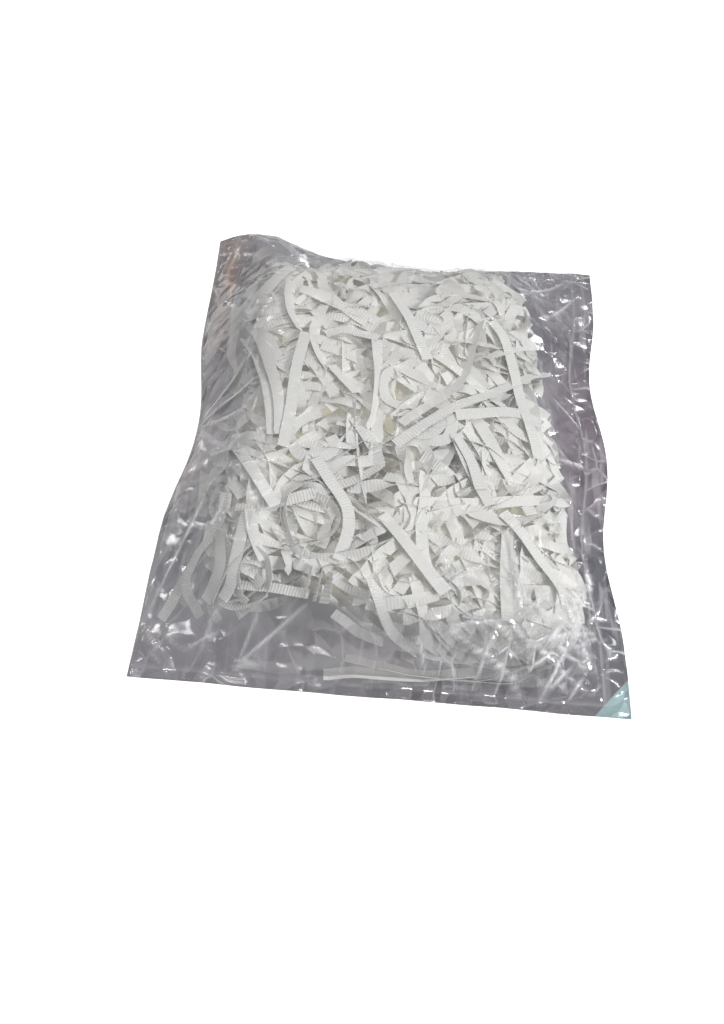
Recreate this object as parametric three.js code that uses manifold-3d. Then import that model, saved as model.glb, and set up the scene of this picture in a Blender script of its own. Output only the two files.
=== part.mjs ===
// A clear film bag of crinkle-cut shredded paper, lying flat on a table.
//
// The bag is one sheet of film folded along its left side and welded along the other three. The heap
// of paper inside is pressed flat below and domed above, and the top wall of the bag is drawn over it.
// Units are millimetres. X runs across the bag, Y along it towards its head, and Z is up from the table.
// The origin is on the table, under the middle of the bag.
import * as THREE from "three";
import { mergeVertices } from "three/addons/utils/BufferGeometryUtils.js";
import Module from "manifold-3d";

const wasm = await Module();
wasm.setup();

// The bag
const BAG_WIDTH = 200;
const BAG_LENGTH = 250;
const FILM = 0.3;
const FOLD_INSET = 1;
const SIDE_SEAL = 10;
const FOOT_SEAL = 5;
const HEAD_SEAL = 4;
const SHOULDER = 4;
const FOLD_PINCH = 7;
const FOLD_PINCH_REACH = 62;
const SIDE_PINCH = 5;
const SIDE_PINCH_REACH = 48;
const HEAD_PINCH = 8;
const HEAD_PINCH_REACH = 85;
const EAR_LIFT = 12;
const EAR_REACH = 45;
const RIM_RISE = 0.6;
const RIM_REACH = 16;
const EDGE_WAVE = 1;
const EDGE_WAVE_LENGTH = 62;
const MARGIN_AIR = 2.5;
const FILM_SAG = 1.1;
const FILM_COLUMNS = 14;
const FILM_ROWS = 17;
const SAG_SWEEPS = 12;

// The air vents pricked beside the side weld
const VENT_RADIUS = 0.8;
const VENT_COUNT = 7;
const VENT_PITCH = 28;
const VENT_INSET = 2;
const VENT_SIDES = 6;

// The heap of paper, with the room left for it inside the welds
const HEAP_HEIGHT = 36;
const HEAP_SHOULDER = 34;
const FOLD_ROOM = 14;
const SIDE_ROOM = 5;
const FOOT_ROOM = 3;
const HEAD_ROOM = 6;
const HEAP_TAPER = 16;
const HEAP_SWELL = 0.12;
const HEAP_SWELL_LENGTHS = [41, 67];
const HEAP_CORNERING = 0.35;
const HEAP_POINTS = 72;
const EMPTY_CORNER_WIDTH = 56;
const EMPTY_CORNER_LENGTH = 24;
const CLEARANCE = 0.3;

// The strips. The bend and the wander of a strip's course are angles for one pitch of it, and the reach
// of the tangle is a share of the heap's height.
const STRIP_WIDTH = 5;
const STRIP_THICKNESS = 0.4;
const STRIP_PITCH = 13;
const STRIP_LENGTH = 128;
const STRIP_LENGTH_SPREAD = 62;
const LOOSE_STRIPS = 44;
const TANGLED_STRIPS = 26;
const STRIP_BEND = 0.25;
const STRIP_WANDER = 0.22;
const STRIP_TURNS = [0, 0.5, -0.5, 1, -1, 1.5, -1.5, 2, -2];
const STRIP_OWN_ROOM = 0.95 * STRIP_PITCH;
const COURSE_TRIES = 30;
const LAST_STRIP_INSET = 10;
const TANGLE_REACH = [0.72, 0.92];
const TANGLE_WAVES = [1.1, 2];
const TANGLE_TRIES = 12;
const CRINKLE = 0.7;
const CURL = 3;
const SEED = 2720;

// The grid on which the height of the paper is kept, how far a point counts on it, how many times a
// sheet is raised off it, and how finely a strip is tried across its half width.
const CELL = 1;
const CELL_REACH = 0.6 * CELL;
const RAISING_ROUNDS = 40;
const TRIED_ACROSS = 0.25;

const FILM_MATERIAL = new THREE.MeshStandardMaterial({
  color: 0xb9bcc6,
  roughness: 0.18,
  metalness: 0,
  transparent: true,
  opacity: 0.35,
});
const PAPER_MATERIAL = new THREE.MeshStandardMaterial({ color: 0xf0efe8, roughness: 0.85 });
const SHADED_PAPER_MATERIAL = new THREE.MeshStandardMaterial({ color: 0xe2dfcf, roughness: 0.9 });

// Seeded random numbers from 0 to 1, the same on every run.
function seededRandom(seed) {
  let state = seed;
  return () => {
    state = (state + 0x6d2b79f5) | 0;
    let mixed = Math.imul(state ^ (state >>> 15), 1 | state);
    mixed = (mixed + Math.imul(mixed ^ (mixed >>> 7), 61 | mixed)) ^ mixed;
    return ((mixed ^ (mixed >>> 14)) >>> 0) / 4294967296;
  };
}
const between = (random, [least, most]) => THREE.MathUtils.lerp(least, most, random());
const eitherWay = (random, most) => between(random, [-most, most]);

// The plan of the bag. Its sides and its head are drawn in where the paper lifts the film, and its
// corners stay where they were cut.
const FOOT = -BAG_LENGTH / 2;
function drawnIn(depth, distance, reach) {
  return Math.abs(distance) < reach ? depth * Math.cos((Math.PI * distance) / reach / 2) ** 2 : 0;
}
const foldEdgeAt = (y) => drawnIn(FOLD_PINCH, y, FOLD_PINCH_REACH) - BAG_WIDTH / 2;
const sideEdgeAt = (y) => BAG_WIDTH / 2 - drawnIn(SIDE_PINCH, Math.abs(y) - SIDE_PINCH_REACH, SIDE_PINCH_REACH);
const headEdgeAt = (x) => BAG_LENGTH / 2 - drawnIn(HEAD_PINCH, x, HEAD_PINCH_REACH);
const fromRimAt = (x, y) => Math.min(x - foldEdgeAt(y), sideEdgeAt(y) - x, y - FOOT, headEdgeAt(x) - y);

// The height of the bag's underside. It lies on the table, and only its rim and one ear stand off.
function undersideAt(x, y) {
  const rim = 1 - THREE.MathUtils.smoothstep(fromRimAt(x, y), 0, RIM_REACH);
  const turn = (2 * Math.PI) / EDGE_WAVE_LENGTH;
  const wave = EDGE_WAVE * (1 + Math.sin(turn * (x + y)) * Math.cos((turn * (x - y)) / 2));
  const fromEar = Math.hypot(x + BAG_WIDTH / 2 - EAR_REACH / 2, BAG_LENGTH / 2 - y);
  return (RIM_RISE + wave) * rim + EAR_LIFT * (1 - THREE.MathUtils.smoothstep(fromEar, 0, EAR_REACH));
}

// The outline of the heap in plan. It narrows towards the head of the bag, and one corner at the foot
// is left empty.
function heapOutline() {
  const foot = FOOT + FOOT_SEAL + SHOULDER + FOOT_ROOM;
  const head = headEdgeAt(0) - HEAD_SEAL - SHOULDER - HEAD_ROOM;
  const foldAt = (y) => foldEdgeAt(y) + FOLD_INSET + SHOULDER + FOLD_ROOM;
  const taperAt = (y) => HEAP_TAPER * ((y - foot) / (head - foot)) ** 2;
  const sideAt = (y) => sideEdgeAt(y) - SIDE_SEAL - SHOULDER - SIDE_ROOM - taperAt(y);
  const round = HEAP_SHOULDER / 2;
  const emptyX = foldAt(foot) + EMPTY_CORNER_WIDTH;
  const emptyY = foot + EMPTY_CORNER_LENGTH;
  const corners = [
    [foldAt(emptyY + round), emptyY + round],
    [foldAt(emptyY) + round / 2, emptyY],
    [emptyX, emptyY - round / 3],
    [emptyX + round, foot],
    [sideAt(foot) - round, foot],
    [sideAt(foot), foot + round],
    [sideAt(-SIDE_PINCH_REACH), -SIDE_PINCH_REACH],
    [sideAt(SIDE_PINCH_REACH), SIDE_PINCH_REACH],
    [sideAt(head) - round, head],
    [foldAt(head) + round, head],
    [foldAt(head - round), head - round],
    [foldAt(0), 0],
  ];
  const curve = new THREE.CatmullRomCurve3(
    corners.map(([x, y]) => new THREE.Vector3(x, y, 0)),
    true,
    "catmullrom",
    HEAP_CORNERING,
  );
  return curve.getSpacedPoints(HEAP_POINTS).slice(0, HEAP_POINTS);
}
const HEAP_OUTLINE = heapOutline();

// How far a point lies inside the outline of the heap, and below zero outside it.
function insideHeap(x, y) {
  let nearest = Infinity;
  let inside = false;
  HEAP_OUTLINE.forEach((a, i) => {
    const b = HEAP_OUTLINE[(i + 1) % HEAP_OUTLINE.length];
    const along = ((x - a.x) * (b.x - a.x) + (y - a.y) * (b.y - a.y)) / a.distanceToSquared(b);
    const t = THREE.MathUtils.clamp(along, 0, 1);
    nearest = Math.min(nearest, Math.hypot(x - a.x - t * (b.x - a.x), y - a.y - t * (b.y - a.y)));
    if (a.y > y !== b.y > y && x < a.x + ((y - a.y) * (b.x - a.x)) / (b.y - a.y)) inside = !inside;
  });
  return inside ? nearest : -nearest;
}

// The floor that the paper lies on, clear of the flat faces of the film round it, and the top that the
// heap was pressed to.
function paperFloorAt(x, y) {
  const reachX = BAG_WIDTH / FILM_COLUMNS;
  const reachY = BAG_LENGTH / FILM_ROWS;
  const around = [[0, 0], [reachX, 0], [-reachX, 0], [0, reachY], [0, -reachY], [-reachX, reachY]];
  return Math.max(...around.map(([dx, dy]) => undersideAt(x + dx, y + dy))) + FILM + CLEARANCE;
}
function heapTopAt(x, y) {
  const share = THREE.MathUtils.clamp(insideHeap(x, y) / HEAP_SHOULDER, 0, 1);
  const [first, second] = HEAP_SWELL_LENGTHS;
  const swell = HEAP_SWELL * (1 - Math.cos((x + y) / first) * Math.cos((x - 2 * y) / second));
  return paperFloorAt(x, y) + HEAP_HEIGHT * (1 - swell) * (1 - (1 - share) ** 2);
}

// The height reached so far by the paper, on a grid over the bag.
class Ground {
  constructor() {
    this.columns = Math.ceil(BAG_WIDTH / CELL) + 1;
    this.rows = Math.ceil(BAG_LENGTH / CELL) + 1;
    this.heights = new Float64Array(this.columns * this.rows).fill(-Infinity);
  }

  // Every cell whose middle is within reach of the point, as indices into the heights.
  *near(x, y, reachX, reachY) {
    const column = (value) => (value + BAG_WIDTH / 2) / CELL;
    const row = (value) => (value + BAG_LENGTH / 2) / CELL;
    const firstColumn = Math.max(0, Math.ceil(column(x - reachX)));
    const lastColumn = Math.min(this.columns - 1, Math.floor(column(x + reachX)));
    const firstRow = Math.max(0, Math.ceil(row(y - reachY)));
    const lastRow = Math.min(this.rows - 1, Math.floor(row(y + reachY)));
    for (let j = firstRow; j <= lastRow; j++) {
      for (let i = firstColumn; i <= lastColumn; i++) yield j * this.columns + i;
    }
  }

  pointOf(at) {
    const row = Math.floor(at / this.columns);
    return new THREE.Vector2(at - row * this.columns, row)
      .multiplyScalar(CELL)
      .sub(new THREE.Vector2(BAG_WIDTH, BAG_LENGTH).divideScalar(2));
  }

  highest(x, y) {
    let top = -Infinity;
    for (const at of this.near(x, y, CELL_REACH, CELL_REACH)) top = Math.max(top, this.heights[at]);
    return top;
  }

  raise(point) {
    for (const at of this.near(point.x, point.y, CELL_REACH, CELL_REACH)) {
      this.heights[at] = Math.max(this.heights[at], point.z);
    }
  }

  // Adds a strip that has come to rest, given the rings of its corners.
  add(rings) {
    for (let i = 0; i + 1 < rings.length; i++) {
      const steps = Math.ceil(rings[i][2].distanceTo(rings[i + 1][2]) / CELL) * 2;
      for (let s = 0; s <= steps; s++) {
        const corners = rings[i].map((corner, k) => corner.clone().lerp(rings[i + 1][k], s / steps));
        for (let across = 0; across <= 8; across++) {
          this.raise(corners[2].clone().lerp(corners[3], across / 8));
          this.raise(corners[0].clone().lerp(corners[1], across / 8));
        }
      }
    }
  }
}

// A strip's course in plan. It wanders both ways from a middle point, turns back at the heap's rim and
// keeps clear of itself.
function wanderingCourse(random, x, y, steps, inset) {
  const heading = eitherWay(random, Math.PI);
  const bend = eitherWay(random, STRIP_BEND);
  const middle = new THREE.Vector2(x, y);
  const walk = (start, sign, taken) => {
    const points = [];
    let direction = start;
    let at = middle;
    for (let step = 0; step < steps; step++) {
      direction += sign * (bend + eitherWay(random, STRIP_WANDER));
      const stepAt = (angle) =>
        new THREE.Vector2(STRIP_PITCH, 0).rotateAround(new THREE.Vector2(), direction + angle).add(at);
      const turn = STRIP_TURNS.find((angle) => {
        const next = stepAt(angle);
        const free = [...taken, ...points].every((point) => point.distanceTo(next) > STRIP_OWN_ROOM);
        return free && insideHeap(next.x, next.y) > inset;
      });
      if (turn === undefined) break;
      at = stepAt(turn);
      direction += turn;
      points.push(at);
    }
    return points;
  };
  const ahead = walk(heading, 1, []);
  const behind = walk(heading + Math.PI, -1, [middle, ...ahead]);
  return [...behind.reverse(), middle, ...ahead];
}

// The longest of several courses from a place, so that a strip keeps its length in a smaller heap.
function longestCourse(random, x, y, length, inset) {
  const steps = Math.max(2, Math.round(length / 2 / STRIP_PITCH));
  let longest = [];
  for (let attempt = 0; attempt < COURSE_TRIES && longest.length <= 2 * steps; attempt++) {
    const course = wanderingCourse(random, x, y, steps, inset);
    if (course.length > longest.length) longest = course;
  }
  return longest;
}

// The level directions across a course, one at each of its points.
function sidewaysAlong(course) {
  return course.map((_, i) => {
    const from = course[Math.max(0, i - 1)];
    const to = course[Math.min(course.length - 1, i + 1)];
    const along = to.clone().sub(from).normalize();
    return new THREE.Vector2(along.y, -along.x);
  });
}

// The four corners of a strip's section at each point, from the heights of its left and right edges.
function sections(course, left, right) {
  const sideways = sidewaysAlong(course);
  return course.map((point, i) => {
    const across = new THREE.Vector3(
      sideways[i].x * STRIP_WIDTH,
      sideways[i].y * STRIP_WIDTH,
      right[i] - left[i],
    ).setLength(STRIP_WIDTH / 2);
    const along = new THREE.Vector3(-sideways[i].y, sideways[i].x, 0);
    const up = across.clone().cross(along).setLength(STRIP_THICKNESS);
    const middle = new THREE.Vector3(point.x, point.y, (left[i] + right[i]) / 2);
    const lowLeft = middle.clone().sub(across);
    const lowRight = middle.clone().add(across);
    return [lowLeft, lowRight, lowRight.clone().add(up), lowLeft.clone().add(up)];
  });
}

// The upper hull of heights at even steps: the line of a string pulled tight over them.
function tautOver(heights) {
  const hull = [];
  heights.forEach((height, i) => {
    while (hull.length > 1) {
      const [a, b] = hull.slice(-2);
      if ((heights[b] - heights[a]) * (i - a) > (height - heights[a]) * (b - a)) break;
      hull.pop();
    }
    hull.push(i);
  });
  return heights.map((_, i) => {
    const after = Math.max(1, hull.findIndex((at) => at >= i));
    const [a, b] = [hull[after - 1], hull[after]];
    return THREE.MathUtils.lerp(heights[a], heights[b], (i - a) / (b - a));
  });
}

// Lifts the low corners of a face until a point on it, given by the corners' weights, is high enough.
function raiseCorners(rest, corners) {
  let short = rest;
  let liftable = 0;
  for (const [heights, i, weight] of corners) {
    short -= weight * heights[i];
    liftable += weight * Math.max(0, rest - heights[i]);
  }
  if (short <= 0 || liftable <= 0) return;
  for (const [heights, i] of corners) {
    heights[i] += (Math.max(0, rest - heights[i]) * short) / liftable;
  }
}

// Lays a strip over the ground: taut between the highest things under it, and clear of everything.
function laidOver(ground, course) {
  const sideways = sidewaysAlong(course);
  const half = STRIP_WIDTH / 2;
  const restAt = (x, y) => Math.max(paperFloorAt(x, y), ground.highest(x, y) + CLEARANCE);
  const edge = (side) =>
    tautOver(
      course.map((point, i) =>
        restAt(point.x + side * half * sideways[i].x, point.y + side * half * sideways[i].y),
      ),
    );
  const left = edge(-1);
  const right = edge(1);
  const checks = [];
  const fineSteps = Math.ceil(STRIP_PITCH / CELL) * 2;
  for (let i = 0; i + 1 < course.length; i++) {
    for (let s = 0; s <= fineSteps; s++) {
      const t = s / fineSteps;
      const middle = course[i].clone().lerp(course[i + 1], t);
      const side = sideways[i].clone().lerp(sideways[i + 1], t);
      for (let across = -1; across <= 1; across += TRIED_ACROSS) {
        const rest = restAt(middle.x + across * half * side.x, middle.y + across * half * side.y);
        checks.push({ i, t, across, rest });
      }
    }
  }
  for (let round = 0; round < RAISING_ROUNDS; round++) {
    for (const { i, t, across, rest } of checks) {
      raiseCorners(rest, [
        [left, i, ((1 - t) * (1 - across)) / 2],
        [right, i, ((1 - t) * (1 + across)) / 2],
        [left, i + 1, (t * (1 - across)) / 2],
        [right, i + 1, (t * (1 + across)) / 2],
      ]);
    }
  }
  return { left, right };
}

// A closed solid from the rings of a strip's corners. Its two broad sides are cut along the same
// diagonals, so that they never meet where the strip twists.
function stripGeometry(rings) {
  const positions = rings.flat().flatMap((corner) => corner.toArray());
  const faces = [];
  const quad = (a, b, c, d) => faces.push(a, b, c, a, c, d);
  const last = 4 * (rings.length - 1);
  quad(0, 1, 2, 3);
  quad(last + 3, last + 2, last + 1, last);
  for (let ring = 0; ring < last; ring += 4) {
    for (let k = 0; k < 4; k++) {
      const next = (k + 1) % 4;
      if (k < 2) quad(ring + next, ring + k, ring + 4 + k, ring + 4 + next);
      else quad(ring + k, ring + 4 + k, ring + 4 + next, ring + next);
    }
  }
  const geometry = new THREE.BufferGeometry();
  geometry.setAttribute("position", new THREE.Float32BufferAttribute(positions, 3));
  geometry.setIndex(faces);
  return geometry;
}

// Between three.js geometry and manifold solids
function toSolid(geometry) {
  const plain = geometry.clone();
  plain.deleteAttribute("normal");
  plain.deleteAttribute("uv");
  const merged = mergeVertices(plain, 1e-4);
  return new wasm.Manifold(
    new wasm.Mesh({
      numProp: 3,
      vertProperties: merged.attributes.position.array,
      triVerts: new Uint32Array(merged.index.array),
    }),
  );
}

function toGeometry(solid) {
  const mesh = solid.getMesh();
  const geometry = new THREE.BufferGeometry();
  geometry.setAttribute("position", new THREE.BufferAttribute(mesh.vertProperties, 3));
  geometry.setIndex(new THREE.BufferAttribute(mesh.triVerts, 1));
  geometry.computeVertexNormals();
  return geometry;
}

function addPiece(group, name, geometry, material) {
  const mesh = new THREE.Mesh(geometry, material);
  mesh.name = name;
  group.add(mesh);
}

// Even places over the heap: a golden-ratio spiral of points, kept where they fall inside it. A third
// of its points fall outside.
function placesOverHeap(count, inset) {
  const golden = Math.PI * (3 - Math.sqrt(5));
  const places = [];
  for (let k = 0; places.length < count; k++) {
    const radius = Math.sqrt((k + 0.5) / count / 1.5);
    if (radius > 1) break;
    const x = (radius * Math.cos(k * golden) * BAG_WIDTH) / 2;
    const y = (radius * Math.sin(k * golden) * BAG_LENGTH) / 2;
    if (insideHeap(x, y) > inset) places.push([x, y]);
  }
  return places;
}

// The tangle: strips that snake up and down through the whole heap and cling where they cross.
function tangledStrips(ground) {
  let tangle = null;
  const joined = [];
  placesOverHeap(TANGLED_STRIPS, STRIP_WIDTH).forEach(([x, y], k) => {
    const random = seededRandom(SEED - 1 - k);
    const length = STRIP_LENGTH + eitherWay(random, STRIP_LENGTH_SPREAD / 2);
    const course = longestCourse(random, x, y, length, STRIP_WIDTH);
    const high = between(random, TANGLE_REACH);
    const waves = between(random, TANGLE_WAVES);
    const lean = eitherWay(random, STRIP_WIDTH / 2);
    for (let attempt = 0; attempt < TANGLE_TRIES; attempt++) {
      const phase = eitherWay(random, Math.PI);
      const heights = course.map((point, i) => {
        const wave = 0.5 + 0.5 * Math.sin((2 * Math.PI * waves * i) / course.length + phase);
        const floor = paperFloorAt(point.x, point.y) + Math.abs(lean) / 2;
        return THREE.MathUtils.lerp(floor, Math.max(floor, heapTopAt(point.x, point.y)), high * wave);
      });
      const left = heights.map((height) => height - lean / 2);
      const right = heights.map((height) => height + lean / 2);
      const rings = sections(course, left, right);
      const solid = toSolid(stripGeometry(rings));
      const together = tangle ? tangle.add(solid) : solid;
      if (together.decompose().length > 1) continue;
      tangle = together;
      joined.push(rings);
      break;
    }
  });
  joined.forEach((rings) => ground.add(rings));
  return tangle;
}

// The loose strips, each one laid over the tangle and over those laid before it. The first lie out at the
// heap's rim and the last ones over its middle.
function looseStrips(ground) {
  const places = placesOverHeap(LOOSE_STRIPS, STRIP_WIDTH * 2).reverse();
  return places.map(([x, y], k) => {
    const random = seededRandom(SEED + k);
    const length = STRIP_LENGTH + eitherWay(random, STRIP_LENGTH_SPREAD / 2);
    const wantedInset = STRIP_WIDTH * 2 + (k / places.length) * LAST_STRIP_INSET;
    const inset = Math.min(wantedInset, insideHeap(x, y) - CELL);
    const course = longestCourse(random, x, y, length, inset);
    const { left, right } = laidOver(ground, course);
    course.forEach((_, i) => {
      const crinkle = i % 2 ? CRINKLE : 0;
      const curl = i === 0 || i === course.length - 1 ? CURL * random() : 0;
      left[i] += crinkle + curl;
      right[i] += crinkle + curl;
    });
    const rings = sections(course, left, right);
    ground.add(rings);
    return stripGeometry(rings);
  });
}

// The lines of the film's net across the bag and along it, as shares of the way from edge to edge,
// with one at each weld and one at each shoulder beside it.
function netLines(size, firstInset, lastInset, cells) {
  const first = (firstInset + SHOULDER) / size;
  const last = 1 - (lastInset + SHOULDER) / size;
  const even = Array.from({ length: cells + 1 }, (_, i) => THREE.MathUtils.lerp(first, last, i / cells));
  return [0, firstInset / size, ...even, 1 - lastInset / size, 1];
}

// Draws the upper net over the paper: no point of a face comes nearer to the paper than the clearance.
function clearPaper(plan, heights, ground) {
  const columns = plan[0].length;
  const checks = [];
  const faceChecks = (a, b, c) => {
    const [pa, pb, pc] = [a, b, c].map(([i, j]) => plan[j][i]);
    const middle = pa.clone().add(pb).add(pc).divideScalar(3);
    const reachX = Math.max(...[pa, pb, pc].map((point) => Math.abs(point.x - middle.x)));
    const reachY = Math.max(...[pa, pb, pc].map((point) => Math.abs(point.y - middle.y)));
    const area = pb.clone().sub(pa).cross(pc.clone().sub(pa));
    for (const at of ground.near(middle.x, middle.y, reachX, reachY)) {
      const rest = ground.heights[at] + CLEARANCE;
      const point = ground.pointOf(at);
      const weightB = point.clone().sub(pa).cross(pc.clone().sub(pa)) / area;
      const weightC = pb.clone().sub(pa).cross(point.clone().sub(pa)) / area;
      const weights = [1 - weightB - weightC, weightB, weightC];
      if (rest === -Infinity || Math.min(...weights) < 0) continue;
      checks.push([rest, [a, b, c].map(([i, j], k) => [heights[j], i, weights[k]])]);
    }
  };
  for (let j = 1; j + 2 < plan.length; j++) {
    for (let i = 1; i + 2 < columns; i++) {
      faceChecks([i, j], [i + 1, j], [i + 1, j + 1]);
      faceChecks([i, j], [i + 1, j + 1], [i, j + 1]);
    }
  }
  for (let round = 0; round < RAISING_ROUNDS; round++) {
    for (const [rest, corners] of checks) raiseCorners(rest, corners);
  }
}

// The walls of the bag as two nets of points, drawn over the paper and welded round the rim.
function filmNets(ground) {
  const columns = netLines(BAG_WIDTH, FOLD_INSET, SIDE_SEAL, FILM_COLUMNS);
  const rows = netLines(BAG_LENGTH, FOOT_SEAL, HEAD_SEAL, FILM_ROWS);
  const plan = rows.map((v) =>
    columns.map((u) => {
      const y = THREE.MathUtils.lerp(FOOT, headEdgeAt((u - 0.5) * BAG_WIDTH), v);
      return new THREE.Vector2(THREE.MathUtils.lerp(foldEdgeAt(y), sideEdgeAt(y), u), y);
    }),
  );
  const welded = (i, j) => i <= 1 || j <= 1 || i >= columns.length - 2 || j >= rows.length - 2;
  const under = plan.map((row) => row.map((point) => undersideAt(point.x, point.y)));
  const inner = plan.map((row, j) =>
    row.map((point, i) => {
      const open = THREE.MathUtils.smoothstep(fromRimAt(point.x, point.y), 0, RIM_REACH);
      return under[j][i] + FILM + (welded(i, j) ? 0 : MARGIN_AIR * open);
    }),
  );
  for (let sweep = 0; sweep < SAG_SWEEPS; sweep++) {
    clearPaper(plan, inner, ground);
    for (let j = 2; j < rows.length - 2; j++) {
      for (let i = 2; i < columns.length - 2; i++) {
        const around = (inner[j][i - 1] + inner[j][i + 1] + inner[j - 1][i] + inner[j + 1][i]) / 4;
        inner[j][i] = Math.max(inner[j][i], around - FILM_SAG);
      }
    }
  }
  return { plan, under, inner, welded };
}

// The way out of a net at one of its points
function outwardAt(plan, heights, i, j) {
  const point = (a, b) => new THREE.Vector3(plan[b][a].x, plan[b][a].y, heights[b][a]);
  const clampI = (a) => THREE.MathUtils.clamp(a, 0, plan[0].length - 1);
  const clampJ = (b) => THREE.MathUtils.clamp(b, 0, plan.length - 1);
  const across = point(clampI(i + 1), j).sub(point(clampI(i - 1), j));
  const along = point(i, clampJ(j + 1)).sub(point(i, clampJ(j - 1)));
  return across.cross(along).normalize();
}

// A closed solid between an upper and a lower net of the same size. Where the two share a rim, the
// rim is one line of points, and otherwise a wall joins them.
function solidBetween(upper, lower, sharedRim) {
  const rows = upper.length;
  const columns = upper[0].length;
  const positions = [...upper.flat(), ...lower.flat()].flatMap((point) => point.toArray());
  const isRim = (i, j) => i === 0 || j === 0 || i === columns - 1 || j === rows - 1;
  const top = (i, j) => j * columns + i;
  const bottom = (i, j) => (sharedRim && isRim(i, j) ? top(i, j) : rows * columns + top(i, j));
  const faces = [];
  const quad = (a, b, c, d) => faces.push(a, b, c, a, c, d);
  for (let j = 0; j + 1 < rows; j++) {
    for (let i = 0; i + 1 < columns; i++) {
      quad(top(i, j), top(i + 1, j), top(i + 1, j + 1), top(i, j + 1));
      quad(bottom(i, j), bottom(i, j + 1), bottom(i + 1, j + 1), bottom(i + 1, j));
    }
  }
  if (!sharedRim) {
    for (let i = 0; i + 1 < columns; i++) {
      quad(bottom(i, 0), bottom(i + 1, 0), top(i + 1, 0), top(i, 0));
      quad(bottom(i + 1, rows - 1), bottom(i, rows - 1), top(i, rows - 1), top(i + 1, rows - 1));
    }
    for (let j = 0; j + 1 < rows; j++) {
      quad(bottom(0, j + 1), bottom(0, j), top(0, j), top(0, j + 1));
      quad(bottom(columns - 1, j), bottom(columns - 1, j + 1), top(columns - 1, j + 1), top(columns - 1, j));
    }
  }
  const geometry = new THREE.BufferGeometry();
  geometry.setAttribute("position", new THREE.Float32BufferAttribute(positions, 3));
  geometry.setIndex(faces);
  return toSolid(geometry);
}

// The bag: its outer form less its inner one, with the vents pricked through both walls.
function filmBag(ground) {
  const { plan, under, inner, welded } = filmNets(ground);
  const at = (i, j, z) => new THREE.Vector3(plan[j][i].x, plan[j][i].y, z);
  const outerTop = plan.map((row, j) =>
    row.map((_, i) => {
      if (welded(i, j)) return at(i, j, inner[j][i] + FILM);
      return at(i, j, inner[j][i]).addScaledVector(outwardAt(plan, inner, i, j), FILM);
    }),
  );
  const outerBottom = plan.map((row, j) => row.map((_, i) => at(i, j, under[j][i])));
  const cavity = (net) => net.slice(1, -1).map((row) => row.slice(1, -1));
  const innerTop = cavity(plan.map((row, j) => row.map((_, i) => at(i, j, inner[j][i]))));
  const innerBottom = cavity(plan.map((row, j) => row.map((_, i) => at(i, j, under[j][i] + FILM))));
  let bag = solidBetween(outerTop, outerBottom, false).subtract(solidBetween(innerTop, innerBottom, true));
  const height = bag.boundingBox().max[2];
  for (let k = 0; k < VENT_COUNT; k++) {
    const y = (k - (VENT_COUNT - 1) / 2) * VENT_PITCH;
    const x = sideEdgeAt(y) - SIDE_SEAL - VENT_INSET;
    const needle = new THREE.CylinderGeometry(VENT_RADIUS, VENT_RADIUS, 3 * height, VENT_SIDES);
    needle.rotateX(Math.PI / 2);
    needle.translate(x, y, 0);
    bag = bag.subtract(toSolid(needle));
  }
  return bag;
}

const ground = new Ground();
const bagOfPaper = new THREE.Group();
addPiece(bagOfPaper, "paper_tangle", toGeometry(tangledStrips(ground)), SHADED_PAPER_MATERIAL);
looseStrips(ground).forEach((geometry, k) => {
  addPiece(bagOfPaper, `paper_strip_${String(k + 1).padStart(2, "0")}`, geometry, PAPER_MATERIAL);
});
addPiece(bagOfPaper, "film_bag", toGeometry(filmBag(ground)), FILM_MATERIAL);

export default bagOfPaper;
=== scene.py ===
"""A clear film bag of crinkle-cut shredded paper, finished over its solids. Lengths are in metres."""

import math

import bmesh
import bpy
import numpy as np
from mathutils import Matrix, Vector
from mathutils.bvhtree import BVHTree


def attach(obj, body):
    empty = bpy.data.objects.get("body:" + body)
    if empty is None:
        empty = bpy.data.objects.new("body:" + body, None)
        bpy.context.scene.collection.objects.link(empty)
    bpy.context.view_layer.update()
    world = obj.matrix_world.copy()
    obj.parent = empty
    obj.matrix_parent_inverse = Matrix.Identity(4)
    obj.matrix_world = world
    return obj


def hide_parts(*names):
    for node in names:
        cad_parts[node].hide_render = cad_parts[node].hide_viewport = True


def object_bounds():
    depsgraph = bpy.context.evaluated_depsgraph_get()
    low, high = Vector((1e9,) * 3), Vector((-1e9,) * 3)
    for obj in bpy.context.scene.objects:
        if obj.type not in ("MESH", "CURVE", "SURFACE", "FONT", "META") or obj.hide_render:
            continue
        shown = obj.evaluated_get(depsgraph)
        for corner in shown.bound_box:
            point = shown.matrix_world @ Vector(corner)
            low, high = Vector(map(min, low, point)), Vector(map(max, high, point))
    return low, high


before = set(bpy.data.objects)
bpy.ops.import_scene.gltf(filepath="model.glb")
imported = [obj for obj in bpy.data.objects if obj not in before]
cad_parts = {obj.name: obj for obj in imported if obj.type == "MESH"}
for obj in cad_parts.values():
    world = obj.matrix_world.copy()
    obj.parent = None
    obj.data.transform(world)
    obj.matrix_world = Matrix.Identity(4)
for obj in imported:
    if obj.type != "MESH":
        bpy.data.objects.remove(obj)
solids_low, solids_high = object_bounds()
bpy.ops.object.select_all(action="DESELECT")

# The camera is held a forearm's length over the table, a little beyond the foot of the bag, and looks
# down along it, slightly rolled.
PHOTO_HEIGHT = 1024
FOCAL_PIXELS = 894.6
SENSOR = 36
CAMERA_PLACE = (-0.0159, -0.2515, 0.3388)
CAMERA_YAW = math.radians(0.79)
CAMERA_TILT = math.radians(57.81)
CAMERA_ROLL = math.radians(5.6)

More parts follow.
